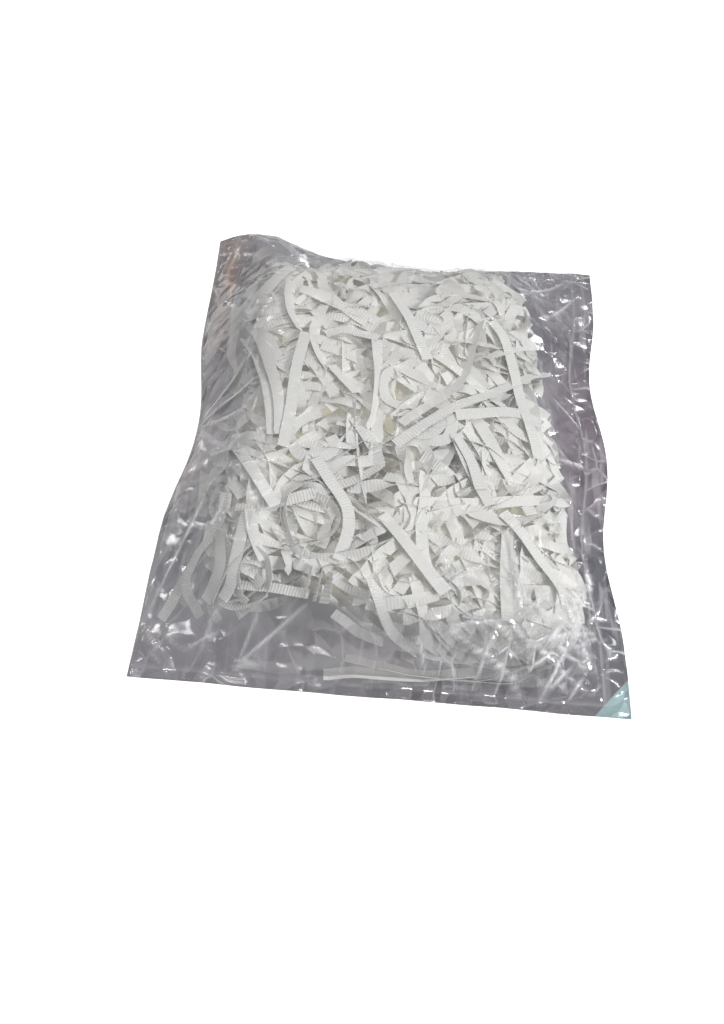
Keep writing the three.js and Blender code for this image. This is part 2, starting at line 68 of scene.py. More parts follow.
forward = Vector((
    math.sin(CAMERA_YAW) * math.cos(CAMERA_TILT),
    math.cos(CAMERA_YAW) * math.cos(CAMERA_TILT),
    -math.sin(CAMERA_TILT),
))
level_right = Vector((math.cos(CAMERA_YAW), -math.sin(CAMERA_YAW), 0))
level_up = level_right.cross(forward)
right = math.cos(CAMERA_ROLL) * level_right + math.sin(CAMERA_ROLL) * level_up
up = math.cos(CAMERA_ROLL) * level_up - math.sin(CAMERA_ROLL) * level_right
camera = bpy.data.objects.new("camera", bpy.data.cameras.new("camera"))
camera.data.sensor_width = SENSOR
camera.data.lens = FOCAL_PIXELS / PHOTO_HEIGHT * SENSOR
camera_turn = Matrix((right, up, -forward)).transposed().to_4x4()
camera.matrix_world = Matrix.Translation(CAMERA_PLACE) @ camera_turn
bpy.context.collection.objects.link(camera)
bpy.context.scene.camera = camera
bpy.context.scene.view_settings.view_transform = "Standard"


# The table is a pale floor, and the light a soft studio one: a lamp to the right of the foot, a weak warm
# one to the left, and two narrow ones behind and above, whose reflections draw the film's creases.
class Number:
    """One number in a material, which adds Math nodes as it is added to, multiplied and so on."""

    def __init__(self, finish, socket):
        self.finish = finish
        self.socket = socket

    def _math(self, operation, first, second):
        node = self.finish.node("ShaderNodeMath", {"operation": operation}, {0: first, 1: second})
        return Number(self.finish, node.outputs[0])

    def __add__(self, other):
        return self._math("ADD", self, other)

    def __mul__(self, other):
        return self._math("MULTIPLY", self, other)

    def __sub__(self, other):
        return self._math("SUBTRACT", self, other)

    def __rsub__(self, other):
        return self._math("SUBTRACT", other, self)

    def highest(self, other):
        return self._math("MAXIMUM", self, other)

    def lowest(self, other):
        return self._math("MINIMUM", self, other)

    __radd__ = __add__
    __rmul__ = __mul__


class Finish:
    """One material: its nodes are added one by one, and its numbers add up in plain expressions."""

    def __init__(self, name):
        self.material = bpy.data.materials.new(name)
        self.material.use_nodes = True
        self.tree = self.material.node_tree
        self.tree.nodes.clear()

    def node(self, kind, settings=None, sockets=None):
        node = self.tree.nodes.new(kind)
        for name, value in (settings or {}).items():
            setattr(node, name, value)
        for name, value in (sockets or {}).items():
            if isinstance(value, Number):
                value = value.socket
            if isinstance(value, bpy.types.NodeSocket):
                self.tree.links.new(value, node.inputs[name])
            else:
                node.inputs[name].default_value = value
        return node

    def number(self, kind, output, settings=None, sockets=None):
        return Number(self, self.node(kind, settings, sockets).outputs[output])

    def place(self):
        return self.node("ShaderNodeTexCoord").outputs["Object"]

    def noise(self, scale, detail=2, roughness=0.5, kind="FBM", place=None, across="3D"):
        settings = {"noise_type": kind, "noise_dimensions": across}
        return self.number("ShaderNodeTexNoise", "Fac", settings, {
            "Vector": place or self.place(), "Scale": scale, "Detail": detail, "Roughness": roughness,
        })

    def attribute(self, name):
        return self.number("ShaderNodeAttribute", "Fac", {"attribute_name": name})

    def mix(self, share, first, second):
        sockets = {"Factor": share, "A": (*first, 1) if isinstance(first, tuple) else first,
                   "B": (*second, 1) if isinstance(second, tuple) else second}
        node = self.node("ShaderNodeMix", {"data_type": "RGBA"})
        for name, value in sockets.items():
            socket = next(s for s in node.inputs if s.name == name and s.enabled)
            value = value.socket if isinstance(value, Number) else value
            if isinstance(value, bpy.types.NodeSocket):
                self.tree.links.new(value, socket)
            else:
                socket.default_value = value
        return next(s for s in node.outputs if s.enabled)

    def bump(self, height, strength, distance):
        sockets = {"Height": height, "Strength": strength, "Distance": distance}
        return self.node("ShaderNodeBump", None, sockets).outputs["Normal"]

    def surface(self, shader):
        self.node("ShaderNodeOutputMaterial", None, {"Surface": shader})
        return self.material

    def principled(self, **sockets):
        named = {name.replace("_", " "): value for name, value in sockets.items()}
        return self.node("ShaderNodeBsdfPrincipled", None, named).outputs["BSDF"]


GLOW = 0.9
TABLE_GREYS = (0.86, 0.86, 0.86), (0.9, 0.9, 0.9)
TABLE_SPECKLE = 60
TABLE_ROUGHNESS = 0.7


def table_top():
    """A pale matt table, which shows as white where the camera, a gloss or a clear film sees it."""
    finish = Finish("table_top")
    rays = finish.node("ShaderNodeLightPath").outputs
    seen = Number(finish, rays["Is Camera Ray"])
    for name in ("Is Glossy Ray", "Is Transmission Ray"):
        seen = seen.highest(Number(finish, rays[name]))
    shade = finish.mix(finish.noise(TABLE_SPECKLE), *TABLE_GREYS)
    top = finish.principled(Base_Color=shade, Roughness=TABLE_ROUGHNESS)
    glow = finish.node("ShaderNodeEmission", None, {"Color": (1, 1, 1, 1), "Strength": seen * GLOW})
    both = finish.node("ShaderNodeAddShader", None, {0: top, 1: glow.outputs["Emission"]})
    return finish.surface(both.outputs["Shader"])


TABLE_SIZE = 8
TABLE_DROP = 0.0004
bpy.ops.mesh.primitive_plane_add(size=TABLE_SIZE, location=(0, 0, -TABLE_DROP))
table = bpy.context.object
table.name = "table"
table.data.materials.append(table_top())


def lamp(name, place, size, power, colour):
    light = bpy.data.lights.new(name, "AREA")
    light.shape = "RECTANGLE"
    light.size, light.size_y = size
    light.energy = power
    light.color = colour
    holder = bpy.data.objects.new(name, light)
    aim = Vector(place).to_track_quat("Z", "Y").to_matrix().to_4x4()
    holder.matrix_world = Matrix.Translation(place) @ aim
    bpy.context.collection.objects.link(holder)


lamp("lamp_right", (0.52, -0.36, 0.5), (0.15, 0.15), 3.2, (1, 0.99, 0.97))
lamp("lamp_left", (-0.9, 0.4, 0.6), (0.2, 0.2), 0.8, (1, 0.86, 0.7))
lamp("lamp_behind", (0.1, 0.75, 0.95), (0.5, 0.04), 2, (1, 1, 1))
lamp("lamp_above", (-0.1, 0.05, 1.2), (0.05, 0.5), 1.5, (1, 1, 1))

SKY_TONE = (0.96, 0.97, 1, 1)
SKY_LEVEL = 0.3
world = bpy.data.worlds.new("studio")
world.use_nodes = True
sky = world.node_tree.nodes["Background"].inputs
sky["Color"].default_value = SKY_TONE
sky["Strength"].default_value = SKY_LEVEL
bpy.context.scene.world = world

# Light passes many walls of film, and turns only a few times in the paper.
light_paths = bpy.context.scene.cycles
light_paths.transparent_max_bounces = 20
light_paths.max_bounces = 4
light_paths.diffuse_bounces = 3
light_paths.glossy_bounces = 1
light_paths.transmission_bounces = 0


# The room between the two walls of the bag is read from its solid, on a grid over the bag. It says how
# high the paper may lie, and how deep each bit of it is. Towards the head the heap sinks further than
# its solid does, and the film's upper left corner stands up over a loop of paper.
CELL = 0.001
SOLID_FILM = 0.0003
ROOF_LIFT = 0.0025
LIFT_FROM, LIFT_OVER = 0.004, 0.02
HEAP_ROOM = 0.003
ROOF_ROUNDS = 14
FLOOR_ROUNDS = 8
NEAR_ROUNDS = 40
LEAST_NEAR = 0.2
HEAD_FROM, HEAD_OVER = 0.045, 0.065
HEAD_SINKING, RIGHT_SINKING, RIGHT_OVER = 0.3, 0.22, 0.05
EAR_ACROSS, EAR_ALONG, EAR_RISE = (-0.071, 0.014), (0.108, 0.01), 0.006
grid_x = np.arange(solids_low.x, solids_high.x + CELL / 2, CELL)
grid_y = np.arange(solids_low.y, solids_high.y + CELL / 2, CELL)


def heights_of(nodes, start, way):
    """The heights at which lines straight down or up over the grid meet some solids."""
    vertices, faces = [], []
    for node in nodes:
        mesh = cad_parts[node].data
        faces += [[corner + len(vertices) for corner in face.vertices] for face in mesh.polygons]
        vertices += [vertex.co for vertex in mesh.vertices]
    tree = BVHTree.FromPolygons(vertices, faces)
    heights = np.full((len(grid_y), len(grid_x)), np.nan)
    for j, y in enumerate(grid_y):
        for i, x in enumerate(grid_x):
            hit = tree.ray_cast((x, y, start), (0, 0, way))[0]
            if hit:
                heights[j, i] = hit.z
    return heights


def softened(heights, rounds):
    """Heights averaged with those beside them, so that the solid's flat faces run into each other."""
    for _ in range(rounds):
        edged = np.pad(heights, 1, mode="edge")
        beside = edged[:-2, 1:-1] + edged[2:, 1:-1] + edged[1:-1, :-2] + edged[1:-1, 2:]
        heights = (beside + 2 * heights) / 6
    return heights


def fading(value, start, over):
    """0 up to a start, and then up to 1 over some distance."""
    return np.clip((value - start) / over, 0, 1)


def around(value, middle, reach):
    """1 in the middle, and less and less to both sides of it."""
    return np.exp(-((value - middle) / reach) ** 2)


loose_strips = sorted(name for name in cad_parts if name.startswith("paper_strip_"))
film_above = heights_of(["film_bag"], 1, -1)
film_below = heights_of(["film_bag"], -1, 1)
outside = np.isnan(film_above) | np.isnan(film_below)
film_above[outside] = SOLID_FILM
film_below[outside] = 0
paper_top = heights_of(["paper_tangle"] + loose_strips, 1, -1)
paper_near = softened((~np.isnan(paper_top)).astype(float), NEAR_ROUNDS)
lifted = fading(film_above - film_below, LIFT_FROM, LIFT_OVER)
roof = softened(film_above + ROOF_LIFT * lifted, ROOF_ROUNDS)
floor_film = softened(film_below, FLOOR_ROUNDS)
across_bag, along_bag = grid_x[None, :], grid_y[:, None]
to_head = fading(along_bag, HEAD_FROM, HEAD_OVER)
sinking = HEAD_SINKING + RIGHT_SINKING * fading(across_bag, 0, RIGHT_OVER)
settling = 1 - sinking * to_head**2 * (3 - 2 * to_head)
roof = floor_film + (roof - floor_film) * settling
roof += EAR_RISE * around(across_bag, *EAR_ACROSS) * around(along_bag, *EAR_ALONG)
ceiling = roof - SOLID_FILM
floor = floor_film + SOLID_FILM
in_heap = (paper_near > LEAST_NEAR) & (ceiling - floor > HEAP_ROOM)


def cell_of(points):
    """The grid's rows and columns nearest to some points in plan."""
    column = np.clip(np.rint((points[..., 0] - grid_x[0]) / CELL).astype(int), 0, len(grid_x) - 1)
    row = np.clip(np.rint((points[..., 1] - grid_y[0]) / CELL).astype(int), 0, len(grid_y) - 1)
    return row, column


# The paper is cut into strips 5 mm wide and crimped across, so that each strip is a narrow zigzag that
# springs open and holds the heap apart. Here a flat strip of each length is crimped, and its copies bent.
STRIP_WIDTH = 0.005
PAPER_THICKNESS = 0.00013
CRIMP_PITCH = 0.0013
CRIMP_DEPTHS = (0.00004, 0.00008, 0.00013, 0.00022)
BURIED_PITCH = 0.008
BURIED_DEPTH = 0.0002
LENGTH_STEP = 0.01
DEEPEST = 0.014
HEAP_EDGE = 0.5
TINY = 1e-12
WHITES = (0.74, 0.74, 0.72), (0.88, 0.88, 0.87)
# The deeper a strip lies under the film, the more it takes a painted cream colour and a painted glow,
# which stand for light passing through the strips above.
PAINTED_DEEP_CREAM = (0.88, 0.865, 0.79)
PAINTED_DEEP_GLOW = (0.92, 0.89, 0.79)
PAINTED_DEEP_GLOW_STRENGTH = 0.17
TONE_SHARE, CLOUD_SHARE = 0.7, 0.3
CLOUDS = 90
FIBRES = 5200
FIBRE_DETAIL, FIBRE_ROUGHNESS = 3, 0.6
PAPER_ROUGHNESS, FIBRE_MATTNESS = 0.62, 0.2
FIBRE_BUMP, FIBRE_HEIGHT = 0.35, 0.0001
PAPER_GLOSS = 0.3
crimped = {}


def crimped_strip(length, pitch, depth):
    """The vertices and faces of one straight crimped strip, along X from 0, with its width along Y."""
    key = (round(length / LENGTH_STEP), pitch, depth)
    if key in crimped:
        return crimped[key]
    folds = round(key[0] * LENGTH_STEP / pitch * 2)
    bpy.ops.mesh.primitive_grid_add(x_subdivisions=folds, y_subdivisions=1, size=1)
    strip = bpy.context.object
    bpy.ops.object.mode_set(mode="EDIT")
    bpy.ops.transform.translate(value=(0.5, 0, 0))
    bpy.ops.transform.resize(value=(1, STRIP_WIDTH, 1))
    bpy.ops.mesh.select_all(action="DESELECT")
    bpy.ops.mesh.select_mode(type="VERT")
    shape = bmesh.from_edit_mesh(strip.data)
    for vertex in shape.verts:
        vertex.select = round(vertex.co.x * folds) % 2 == 1
    bmesh.update_edit_mesh(strip.data)
    bpy.ops.transform.translate(value=(0, 0, depth))
    bpy.ops.object.mode_set(mode="OBJECT")
    wall = strip.modifiers.new("wall", "SOLIDIFY")
    wall.thickness = PAPER_THICKNESS
    bpy.ops.object.modifier_apply(modifier="wall")
    vertices = np.array([vertex.co for vertex in strip.data.vertices])
    faces = np.array([face.vertices for face in strip.data.polygons])
    mesh = strip.data
    bpy.data.objects.remove(strip)
    bpy.data.meshes.remove(mesh)
    crimped[key] = vertices, faces
    return crimped[key]


def length_of(line):
    return float(np.linalg.norm(np.diff(line, axis=0), axis=1).sum())


def unit(vectors):
    return vectors / np.maximum(np.linalg.norm(vectors, axis=1, keepdims=True), TINY)


def bent(strip, line, across):
    """A straight strip's vertices, laid along a line of points with the strip's width across it."""
    vertices, faces = strip
    travelled = np.concatenate([[0], np.cumsum(np.linalg.norm(np.diff(line, axis=0), axis=1))])
    travelled /= travelled[-1]
    along = unit(np.gradient(line, axis=0))
    across = unit(across - along * np.sum(across * along, axis=1, keepdims=True))
    normal = np.cross(along, across)

    def at(channel):
        spots = [np.interp(vertices[:, 0], travelled, channel[:, k]) for k in range(3)]
        return np.stack(spots, axis=1)

    places = at(line) + at(across) * vertices[:, 1:2] + at(normal) * vertices[:, 2:3]
    return places, faces


def paper_piece(name, strips, tones):
    """One mesh of several strips, each with its own tone of white, and with how deep it lies."""
    vertices, faces, tone, depth, start = [], [], [], [], 0
    for (places, sides), value in zip(strips, tones):
        vertices.append(places)
        faces.append(sides + start)
        tone.append(np.full(len(places), value))
        cells = cell_of(places)
        # How deep each point lies sets the paper's painted cream colour and painted glow.
        below = fading(ceiling[cells] - places[:, 2], 0, DEEPEST)
        depth.append(below * fading(paper_near[cells], HEAP_EDGE, HEAP_EDGE))
        start += len(places)
    mesh = bpy.data.meshes.new(name)
    mesh.from_pydata(np.concatenate(vertices).tolist(), [], np.concatenate(faces).tolist())
    for label, values in (("tone", tone), ("depth", depth)):
        mesh.attributes.new(label, "FLOAT", "POINT").data.foreach_set("value", np.concatenate(values))
    mesh.materials.append(paper)
    piece = bpy.data.objects.new(name, mesh)
    bpy.context.collection.objects.link(piece)
    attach(piece, "root")
    return piece


def crinkled_paper():
    """Bleached paper with a fine fibre. Each strip has its own white, and the deep ones have a painted
    cream colour and a painted glow, for the light that comes to them through the strips above."""
    finish = Finish("crinkled_paper")
    tone = finish.attribute("tone")
    depth = finish.attribute("depth")
    cloud = finish.noise(CLOUDS, detail=3)
    upper = finish.mix(tone * TONE_SHARE + cloud * CLOUD_SHARE, *WHITES)
    # Painted light: the deep strips turn cream here, and glow a little below.
    colour = finish.mix(depth, upper, PAINTED_DEEP_CREAM)
    fibre = finish.noise(FIBRES, detail=FIBRE_DETAIL, roughness=FIBRE_ROUGHNESS)
    shader = finish.principled(
        Base_Color=colour,
        Roughness=PAPER_ROUGHNESS + fibre * FIBRE_MATTNESS,
        Normal=finish.bump(fibre, FIBRE_BUMP, FIBRE_HEIGHT),
        Specular_IOR_Level=PAPER_GLOSS,
        Emission_Color=finish.mix(depth, (0, 0, 0), PAINTED_DEEP_GLOW),
        Emission_Strength=PAINTED_DEEP_GLOW_STRENGTH,
    )
    return finish.surface(shader)


SEED = 41
paper = crinkled_paper()
random = np.random.default_rng(SEED)


# The loose strips lie over the heap, each one whole and free of the others. Each follows its own solid,
# whose rings give the line of the strip and the way its width lies, and it sinks with the heap.
SAME_CORNER = 1e-5


def rings_of(node):
    """The middles of a strip solid's rings in order, and the way across the strip at each."""
    shape = bmesh.new()
    shape.from_mesh(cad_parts[node].data)
    bmesh.ops.remove_doubles(shape, verts=shape.verts, dist=SAME_CORNER)
    shape.verts.ensure_lookup_table()
    corners = np.array([vertex.co for vertex in shape.verts])
    gaps = np.linalg.norm(corners[:, None] - corners[None], axis=2)
    ring_of = np.argsort(gaps, axis=1)[:, :4].min(axis=1)
    beside = {ring: set() for ring in ring_of}
    for edge in shape.edges:
        first, second = (ring_of[vertex.index] for vertex in edge.verts)
        if first != second:
            beside[first].add(second)
            beside[second].add(first)
    shape.free()
    order = [min(ring for ring in beside if len(beside[ring]) == 1)]
    while len(order) < len(beside):
        order.append(next(ring for ring in beside[order[-1]] if ring not in order[-2:]))
    middles, across = [], []
    for ring in order:
        four = corners[ring_of == ring]
        far = np.argmax(np.linalg.norm(four - four[0], axis=1))
        way = four[far] - four[0]
        if across and np.dot(way, across[-1]) < 0:
            way = -way
        middles.append(four.mean(axis=0))
        across.append(way)
    return np.array(middles), np.array(across)


def smooth_line(points, spacing):
    """Points every spacing along a smooth curve through the given ones."""
    padded = np.concatenate([2 * points[:1] - points[1:2], points, 2 * points[-1:] - points[-2:-1]])
    pieces = []
    for before, start, end, after in zip(padded, padded[1:], padded[2:], padded[3:]):
        count = max(2, round(float(np.linalg.norm(end - start)) / spacing))
        t = np.linspace(0, 1, count, endpoint=False)[:, None]
        pieces.append(0.5 * (
            2 * start + (end - before) * t + (2 * before - 5 * start + 4 * end - after) * t**2
            + (3 * start - before - 3 * end + after) * t**3
        ))
    return np.concatenate(pieces + [points[-1:]])


LINE_STEP = 0.002
loose_lines = []
for node in loose_strips:
    middles, ways = rings_of(node)
    both = smooth_line(np.concatenate([middles, unit(ways) * STRIP_WIDTH], axis=1), LINE_STEP)
    line, across = both[:, :3], both[:, 3:]
    cells = cell_of(line)
    line[:, 2] = floor[cells] + (line[:, 2] - floor[cells]) * settling[cells]
    strip = crimped_strip(length_of(line), CRIMP_PITCH, random.choice(CRIMP_DEPTHS))
    name = node.replace("paper_strip", "crinkled_strip")
    piece = paper_piece(name, [bent(strip, line, across)], [random.random()])
    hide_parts(node)
    loose_lines.append(line)


# The mass of the heap is several hundred more strips, tossed in and pressed under the film. They are
# laid one by one from the table up, each over what lies there already. The buried ones are barely bent
# across, and the upper ones, which fill the hollows that are left under the film, are crimped.
TURNS = (0, 0.35, -0.35, 0.7, -0.7, 1.1, -1.1, 1.6, -1.6, 2.2, -2.2)
TURN_KEPT = 0.5
BEND_SHARE = 0.5
LOOK_AHEAD = 2.2 * LINE_STEP
FOLD_CHANCE = 0.03
FOLD_TURNS = (0.9, 2.2)
END_CHANCE = 0.4


def wandering_line(start, steps, wander):
    """A line in plan that wanders from a start, folds here and there, and turns or ends at the rim."""
    heading = random.uniform(0, 2 * math.pi)
    bend = random.normal(0, wander * BEND_SHARE)
    points = [np.array(start)]
    for _ in range(steps):
        heading += random.normal(bend, wander)
        if random.random() < FOLD_CHANCE:
            heading += random.choice([-1, 1]) * random.uniform(*FOLD_TURNS)
        for turn in TURNS:
            way = np.array([math.cos(heading + turn), math.sin(heading + turn)])
            if in_heap[cell_of(points[-1] + LOOK_AHEAD * way)]:
                break
        else:
            break
        if turn and random.random() < END_CHANCE:
            break
        heading += turn * TURN_KEPT
        points.append(points[-1] + LINE_STEP * np.array([math.cos(heading), math.sin(heading)]))
    return np.array(points)


def running(values, reach, choose):
    """Each value with its neighbours on the line: the highest of them, or their mean."""
    padded = np.pad(values, reach, mode="edge")
    return choose(np.stack([padded[k:k + len(values)] for k in range(2 * reach + 1)]), axis=0)


HALF_WIDTH = STRIP_WIDTH / 2
ACROSS = (-0.9, -0.45, 0, 0.45, 0.9)
STIFF_REACH = 2
EASE_REACH = 3
LEANS = [0.3, 0.8, 1.6]
LEAN_CHANCES = [0.4, 0.35, 0.25]
LEAN_WAVES = (0.5, 2.5)
LEAN_SPREAD = 0.25


def laid(plan, lean, aim, lid):
    """The line of a strip, over the pile and under a lid and near the height that it aims for, and the
    way across it. The strip then belongs to the pile."""
    along = unit(np.gradient(plan, axis=0))
    sideways = np.stack([along[:, 1], -along[:, 0]], axis=1)
    level = HALF_WIDTH * np.cos(lean)[:, None] * sideways
    rise = HALF_WIDTH * np.sin(lean)
    clear = CRIMP_DEPTHS[-1] + PAPER_THICKNESS
    under = np.max([pile[cell_of(plan + side * level)] - side * rise for side in ACROSS], axis=0)
    over = np.min([lid[cell_of(plan + side * level)] - side * rise for side in ACROSS], axis=0)
    rest = running(running(under, STIFF_REACH, np.max), EASE_REACH, np.mean) + clear
    height = np.minimum(np.maximum(rest, aim), over - clear)
    height = running(height, STIFF_REACH, np.mean)
    across = np.concatenate([sideways * np.cos(lean)[:, None], np.sin(lean)[:, None]], axis=1)
    for side in ACROSS:
        np.maximum.at(pile, cell_of(plan + side * level), height + side * rise + clear / 2)
    return np.concatenate([plan, height[:, None]], axis=1), across


def wave(count, size, waves):
    """A slow wave along a strip, of random phase."""
    return size * np.sin(np.linspace(0, 2 * math.pi * waves, count) + random.uniform(0, 2 * math.pi))


def lean_along(count):
    """How far a strip leans over along its length: most lie flat, some twist and some stand on edge."""
    most = random.choice(LEANS, p=LEAN_CHANCES)
    return wave(count, most, random.uniform(*LEAN_WAVES)) + random.normal(0, LEAN_SPREAD)


SHORTEST = 14
MOST_STEPS = (30, 85)
STRIPS_IN_A_PIECE = 60
SHOWN_ROOM = 0.002
heap_cells = np.argwhere(in_heap)
pile = floor.copy()
heap_lid = ceiling - SHOWN_ROOM


def new_plan(wander):
    """A line in plan from a random place in the heap, tried again while it comes out too short."""
    plan = []
    while len(plan) < SHORTEST:
        row, column = heap_cells[random.integers(len(heap_cells))]
        start = grid_x[column], grid_y[row]
        plan = wandering_line(start, int(random.uniform(*MOST_STEPS)), wander)
    return plan


def in_pieces(name, strips):
    """Strips gathered in a few numbered pieces, which stand for the mass of the heap."""
    for number, first in enumerate(range(0, len(strips), STRIPS_IN_A_PIECE), start=1):
        group = strips[first:first + STRIPS_IN_A_PIECE]
        piece = paper_piece(f"{name}_{number:02d}", group, random.random(len(group)))
        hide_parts("paper_tangle")


BURIED_STRIPS = 330
BURIED_WANDERS = [0.03, 0.1, 0.25]
BURIED_SHARE = 0.72
BURIED_SHARES = (0.02, 0.8)
BURIED_SWING = 0.13
BURIED_WAVES = (0.7, 2)
buried = []
for k in range(BURIED_STRIPS):
    plan = new_plan(random.choice(BURIED_WANDERS))
    low, high = floor[cell_of(plan)], heap_lid[cell_of(plan)]
    swing = wave(len(plan), BURIED_SWING, random.uniform(*BURIED_WAVES))
    share = np.clip(BURIED_SHARE * k / BURIED_STRIPS + swing, *BURIED_SHARES)
    line, across = laid(plan, lean_along(len(plan)), low + (high - low) * share, heap_lid)
    buried.append(bent(crimped_strip(length_of(line), BURIED_PITCH, BURIED_DEPTH), line, across))
in_pieces("buried_paper", buried)

for line in loose_lines:
    np.maximum.at(pile, cell_of(line[:, :2]), line[:, 2])

UPPER_TRIES = 320
UPPER_WANDERS = [0.02, 0.08, 0.22]
WANDER_CHANCES = [0.4, 0.4, 0.2]
UPPER_SHARES = (0, 0.5)
PLANS_TRIED = 10
LEAST_ROOM = 0.0024
ROOM_PERCENT = 25


def headroom(plan):
    """The room between the pile and the film along a line, where it is rather small."""
    return float(np.percentile((heap_lid - pile)[cell_of(plan)], ROOM_PERCENT))


upper = []
for _ in range(UPPER_TRIES):
    wander = random.choice(UPPER_WANDERS, p=WANDER_CHANCES)
    plan = max((new_plan(wander) for _ in range(PLANS_TRIED)), key=headroom)
    if headroom(plan) < LEAST_ROOM:
        continue
    low, high = pile[cell_of(plan)], heap_lid[cell_of(plan)]
    aim = low + (high - low) * random.uniform(*UPPER_SHARES)
    line, across = laid(plan, lean_along(len(plan)), aim, heap_lid)
    strip = crimped_strip(length_of(line), CRIMP_PITCH, random.choice(CRIMP_DEPTHS))
    upper.append(bent(strip, line, across))
in_pieces("upper_paper", upper)


# The strips that the photograph shows best: long ones over the right of the heap, a loop on edge at its
# lower left, wide bundles up its left side, and stray ends at the foot. Their places are listed in
# millimetres of plan, and each has its lean at its start and at its end.
ON_EDGE = 1.25
SHOWN_STRIPS = [
    ([(-57, 78), (-65, 56), (-73, 43)], 0.1, 0.3),
    ([(-55, 61), (-55, 51), (-53, 41), (-48, 31)], 0.3, 0.9),
    ([(-74, 33), (-64, 13), (-57, -8), (-53, -28)], 0.5, 0.1),
    ([(-68, 31), (-60, 13), (-53, -8), (-50, -28)], -0.3, 0.3),
    ([(-45, 29), (-47, 8), (-47, -13), (-48, -34)], 0.1, 0.2),
    ([(-13, 28), (-11, 5), (-12, -15), (-14, -21)], 0.2, 1.3),
    ([(-36, 29), (-28, 33), (-18, 31), (-12, 29)], 0.2, 0.2),
    ([(-62, 97), (-70, 105), (-78, 102), (-80, 80), (-79, 60), (-77, 44)], 1.2, 0.4),
    ([(-80, 58), (-81, 36), (-79, 26), (-75, 17), (-77, 8)], 0.4, 0.9),
    ([(-32, 11), (-20, -4)], 0.4, 0.5),
    ([(-80, -8), (-71, -19), (-63, -15)], 0.5, 0.2),
    ([(-2, -29), (23, -7), (51, 15), (70, 38)], 0.1, 0.35),
    ([(0, -19), (23, 4), (30, 28), (34, 44)], 0.2, 0.9),
    ([(23, -12), (47, -5), (61, -8)], -0.3, 0.1),
    ([(39, 45), (46, 34), (50, 18), (53, 0), (57, -17), (59, -27)], 0.2, 0.3),
    ([(23, -21), (29, -35), (38, -54)], 0.1, 0.1),
    ([(-7, 63), (1, 43), (10, 17)], 0.2, 0.1),
    ([(37, 24), (62, 44)], 0.5, -0.3),
    ([(43, -57), (59, -74), (68, -85), (71, -97)], 0.1, 0.5),
    ([(68, -86), (66, -98), (56, -106)], 0.2, 0.2),
    ([(45, -66), (45, -81), (46, -100)], 0.2, 0.1),
    ([(48, -98), (64, -89)], 0.4, 0.4),
    ([(14, -112), (34, -112), (50, -107)], 0.3, 0.3),
    ([(12, -82), (22, -92)], 0.1, 0.2),
    ([(-7, -79), (-18, -81), (-30, -82), (-39, -78), (-44, -66), (-44, -56), (-38, -50), (-32, -48)],
     0.9, ON_EDGE),
    ([(-33, -76), (-26, -72), (-23, -65), (-26, -58), (-33, -55)], 0.8, ON_EDGE),
    ([(-34, -38), (-28, -47), (-20, -58), (-18, -67), (-19, -75), (-21, -83)], 0.1, 0.2),
    ([(-66, -37), (-56, -50), (-48, -61)], 0.1, 0.15),
    ([(-5, -63), (6, -76), (21, -93)], 0.05, 0.1),
    ([(24, -23), (30, -33), (34, -47)], 0.4, 0.1),
    ([(-8, -90), (-2, -103), (3, -108), (13, -112)], 0.7, 0.1),
    ([(-21, -103), (-11, -108), (-1, -110)], 0.3, 0.3),
    ([(-23, -118), (-11, -117), (10, -117), (36, -115)], 0.1, 0.3),
    ([(-15, -114), (12, -116), (40, -116), (62, -110)], 0.5, 0.9),
    ([(30, -117), (52, -116), (66, -108), (72, -98)], 1.2, 0.6),
    ([(-59, -101), (-53, -97), (-48, -94)], 0.15, 0.1),
    ([(-59, -92), (-46, -93), (-31, -95)], 0.3, 0.2),
    ([(-62, -96), (-56, -95), (-50, -90)], 0.8, 0.3),
    ([(-58, -63), (-55, -74), (-50, -84)], 0.3, 0.5),
    ([(-29, -98), (-27, -86)], ON_EDGE, ON_EDGE),
    ([(-33, -97), (-31, -85)], ON_EDGE, ON_EDGE),
    ([(-25, -99), (-23, -87)], 0.6, ON_EDGE),
    ([(-91, -100), (-86, -91), (-81, -83), (-74, -76), (-73, -66)], 0.3, 0.2),
    ([(-74, -101), (-77, -97), (-82, -88), (-78, -79), (-72, -73), (-70, -64), (-70, -56)], 0.9, 0.3),
    ([(-72, -97), (-69, -92), (-67, -86), (-68, -79), (-69, -72)], 0.2, 0.8),
    ([(-65, -97), (-62, -92), (-61, -85), (-60, -74), (-59, -64)], 0.1, 0.3),
    ([(-66, -103), (-70, -98), (-68, -93), (-64, -86), (-60, -81), (-56, -76)], 1.1, 0.5),
    ([(-55, -98), (-58, -96), (-60, -91), (-59, -84), (-55, -79)], ON_EDGE, 0.9),
    ([(-55, -98), (-49, -96), (-47, -91), (-49, -84), (-54, -80)], ON_EDGE, 1.0),
    ([(-69, -55), (-69, -63), (-72, -69)], 0.4, 0.9),
    ([(-70, -98), (-67, -96), (-61, -98), (-54, -97)], 0.5, 0.2),
    ([(-82, -36), (-80, -49), (-80, -59)], 0.7, 0.3),
    ([(-79, -29), (-72, -32), (-64, -38)], 0.3, 0.5),
]
MILLIMETRES_IN_A_METRE = 1000
shown = []
for course, first_lean, last_lean in SHOWN_STRIPS:
    plan = smooth_line(np.array(course) / MILLIMETRES_IN_A_METRE, LINE_STEP)
    lean = np.linspace(first_lean, last_lean, len(plan))
    line, across = laid(plan, lean, heap_lid[cell_of(plan)], ceiling)
    strip = crimped_strip(length_of(line), CRIMP_PITCH, random.choice(CRIMP_DEPTHS[1:]))
    shown.append(bent(strip, line, across))
in_pieces("shown_paper", shown)


